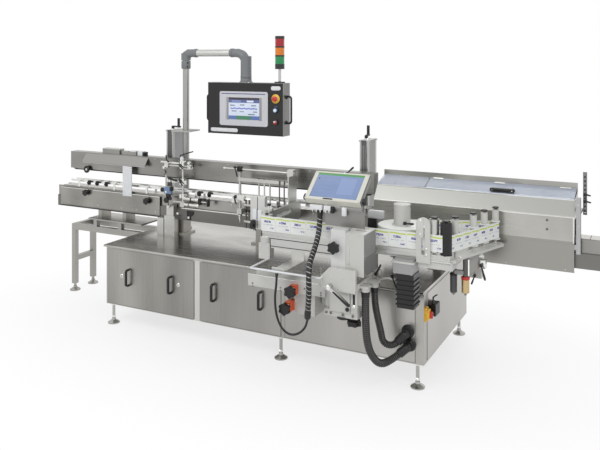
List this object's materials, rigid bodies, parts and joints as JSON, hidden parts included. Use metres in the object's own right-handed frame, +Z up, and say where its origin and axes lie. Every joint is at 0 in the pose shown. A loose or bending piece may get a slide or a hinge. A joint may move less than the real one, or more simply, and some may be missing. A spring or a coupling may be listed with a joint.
{
  "type": "pressure sensitive labeler",
  "caption": "Inline labelling machine: steel cabinet with a through conveyor, overhead hold-down belt, guarded outfeed, height-adjustable label head and a swinging operator pendant.",
  "frame": {"origin": "centre of the middle front foot's pad on the floor", "axes": "+X along the conveyor towards the outfeed, +Y to the rear, +Z up"},
  "size_m": [4.69, 1.4963, 2.204],
  "materials": {
    "anodised": "satin",
    "belt": "matte",
    "black_handle": "matte",
    "brass": "satin",
    "casting": "satin",
    "chain": "brushed",
    "clear": "clear",
    "hose": "matte",
    "lamp": "gloss",
    "light_grey": "satin",
    "motor_black": "matte",
    "orange": "satin",
    "paper": "matte",
    "pendant_black": "satin",
    "screen": "gloss",
    "stainless": "brushed",
    "stainless_light": "satin",
    "switch_red": "satin",
    "switch_yellow": "satin",
    "white_plastic": "matte"
  },
  "bodies": {
    "frame": {"adjusting_column_left": "anodised", "adjusting_column_right": "anodised", "base_rail": "light_grey", "cabinet_body": "stainless", "cabinet_panels": "stainless", "conveyor_beam": "stainless", "conveyor_chain": "chain", "conveyor_sides": "stainless", "conveyor_stands": "stainless", "cover_front_sheet": "stainless", "cover_rear_wall": "stainless", "end_post": "stainless", "end_switches": "switch_yellow", "fixed_clear_panel": "clear", "guide_rails": "stainless", "guide_station": "stainless_light", "infeed_side_plate": "stainless", "infeed_upright": "white_plastic", "inner_hose": "hose", "levelling_feet": "stainless", "outer_hose": "hose", "panel_handles": "black_handle", "peel_station": "stainless_light", "pendant_pole": "stainless_light", "position_indicators": "orange", "rod_guard": "white_plastic", "stage_base": "light_grey", "table_top": "stainless"},
    "holddown": {"holddown_housing": "stainless", "holddown_belt": "belt"},
    "crank_left": {"crank_left": "black_handle"},
    "crank_right": {"crank_right": "black_handle"},
    "pendant_arm": {"pendant_arm": "casting"},
    "pendant": {"pendant_box": "pendant_black", "pendant_controls": "light_grey", "pendant_handles": "black_handle", "stack_light": "lamp"},
    "lid": {"clear_lid": "clear"},
    "main_switch": {"main_switch_knob": "switch_red"},
    "handwheel_upper": {"handwheel_upper": "black_handle"},
    "handwheel_lower": {"handwheel_lower": "black_handle"},
    "height_handwheel": {"height_handwheel": "black_handle"},
    "stage_lever": {"stage_lever": "stainless"},
    "label_head": {"head_column": "light_grey", "control_box": "light_grey", "head_beam": "anodised", "head_plate": "anodised", "peel_arm": "anodised", "label_web": "paper", "drive_motor": "motor_black", "air_regulator": "brass", "guide_rollers": "anodised", "handwheel_cable": "hose", "panel_cable": "hose"},
    "operator_panel": {"operator_panel": "screen"},
    "reel": {"reel_hub": "light_grey", "label_roll": "paper"},
    "turning_roller": {"turning_roller": "anodised"},
    "pinch_roller": {"pinch_roller": "anodised"},
    "drive_roller": {"drive_roller": "belt"}
  },
  "joints": [
    {"name": "holddown_height", "type": "slide", "parent": "frame", "child": "holddown", "axis": [0, 0, 1], "range_m": [0, 0.12]},
    {"name": "crank_left_turn", "type": "hinge", "parent": "frame", "child": "crank_left", "pos_m": [-1.424, 0.691, 1.425], "axis": [0, 0, 1], "continuous": true},
    {"name": "crank_right_turn", "type": "hinge", "parent": "frame", "child": "crank_right", "pos_m": [0.341, 0.691, 1.425], "axis": [0, 0, 1], "continuous": true},
    {"name": "pendant_swing", "type": "hinge", "parent": "frame", "child": "pendant_arm", "pos_m": [-1.295, 0.7, 2.014], "axis": [0, 0, 1], "range_deg": [-75, 75]},
    {"name": "pendant_swivel", "type": "hinge", "parent": "pendant_arm", "child": "pendant", "pos_m": [-0.703, 0.7, 1.877], "axis": [0, 0, 1], "range_deg": [-60, 60]},
    {"name": "lid_hinge", "type": "hinge", "parent": "frame", "child": "lid", "pos_m": [1.32, 0.65, 1.184], "axis": [-1, 0, 0], "range_deg": [0, 100]},
    {"name": "main_switch_turn", "type": "hinge", "parent": "frame", "child": "main_switch", "pos_m": [1.035, 0.001, 0.457], "axis": [1, 0, 0], "range_deg": [0, 90]},
    {"name": "handwheel_upper_turn", "type": "hinge", "parent": "frame", "child": "handwheel_upper", "pos_m": [0.262, -0.34, 0.588], "axis": [0, -1, 0], "continuous": true},
    {"name": "handwheel_lower_turn", "type": "hinge", "parent": "frame", "child": "handwheel_lower", "pos_m": [0.225, -0.34, 0.478], "axis": [0, -1, 0], "continuous": true},
    {"name": "height_handwheel_turn", "type": "hinge", "parent": "frame", "child": "height_handwheel", "pos_m": [0.66, -0.3, 0.455], "axis": [0, 0, 1], "continuous": true},
    {"name": "stage_lever_clamp", "type": "hinge", "parent": "frame", "child": "stage_lever", "pos_m": [0.54, -0.4, 0.668], "axis": [0, -1, 0], "range_deg": [-45, 45]},
    {"name": "label_head_height", "type": "slide", "parent": "frame", "child": "label_head", "axis": [0, 0, 1], "range_m": [-0.04, 0.04]},
    {"name": "operator_panel_tilt", "type": "hinge", "parent": "label_head", "child": "operator_panel", "pos_m": [0.498, -0.227, 1.162], "axis": [1, 0, 0], "range_deg": [-20, 20]},
    {"name": "reel_spin", "type": "hinge", "parent": "label_head", "child": "reel", "pos_m": [0.85, 0.02, 0.95], "axis": [0, 0, 1], "continuous": true},
    {"name": "turning_roller_spin", "type": "hinge", "parent": "label_head", "child": "turning_roller", "pos_m": [-0.046, -0.1127, 0.95], "axis": [0, 0, 1], "continuous": true},
    {"name": "pinch_roller_spin", "type": "hinge", "parent": "label_head", "child": "pinch_roller", "pos_m": [1.099, -0.1227, 0.95], "axis": [0, 0, 1], "continuous": true},
    {"name": "drive_roller_spin", "type": "hinge", "parent": "label_head", "child": "drive_roller", "pos_m": [1.169, -0.1207, 0.95], "axis": [0, 0, 1], "continuous": true}
  ]
}
